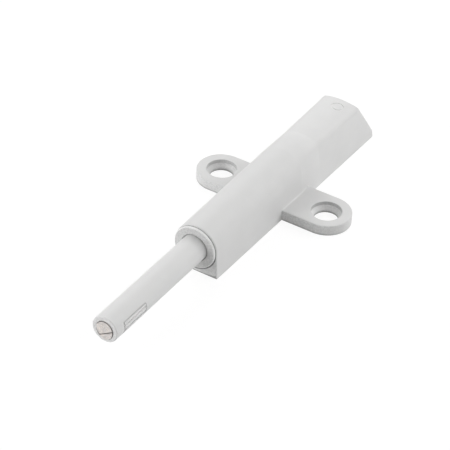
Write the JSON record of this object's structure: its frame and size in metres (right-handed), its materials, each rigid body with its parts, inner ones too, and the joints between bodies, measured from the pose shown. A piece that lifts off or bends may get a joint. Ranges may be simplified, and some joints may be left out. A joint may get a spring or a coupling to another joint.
{
  "type": "magnetic push latch",
  "caption": "Slim push-to-open latch: a moulded housing with two screw ears holds a sprung plunger with a magnet in its tip.",
  "frame": {"origin": "midway between the two screw holes, on the face that is screwed to the cabinet", "axes": "+X to the ear on the right seen from behind the plunger's tip, -Y towards the magnet, +Z out of the mounting face"},
  "size_m": [0.0454, 0.1167, 0.0141],
  "materials": {
    "housing_plastic": "light grey moulded plastic, fine satin texture",
    "cartridge_plastic": "light grey moulded plastic, satin",
    "plunger_plastic": "light grey moulded plastic, satin",
    "magnet_nickel": "nickel plate, satin",
    "pole_steel": "plated steel, satin",
    "spring_steel": "bright steel wire and strip",
    "soft_rubber": "soft elastomer"
  },
  "bodies": {
    "housing": {"housing": "housing_plastic", "cartridge_tube": "cartridge_plastic", "end_plug": "cartridge_plastic", "guide_rod": "cartridge_plastic", "drive_spring": "spring_steel", "stop_buffer": "soft_rubber", "hook_pin": "spring_steel"},
    "plunger": {"plunger": "plunger_plastic", "magnet": "magnet_nickel", "pole_plate": "pole_steel", "magnet_clip": "plunger_plastic"},
    "catch": {"catch_hook": "spring_steel"}
  },
  "joints": [
    {"name": "plunger_slide", "type": "slide", "parent": "housing", "child": "plunger", "axis": [0, 1, 0], "range_m": [0, 0.037], "stiffness_N_per_m": 270, "springref_m": -0.0074, "deforming": ["drive_spring"]},
    {"name": "catch_swing", "type": "hinge", "parent": "housing", "child": "catch", "pos_m": [0, 0.02495, 0.0106], "axis": [0, 0, 1], "range_deg": [-11.5, 0]}
  ]
}
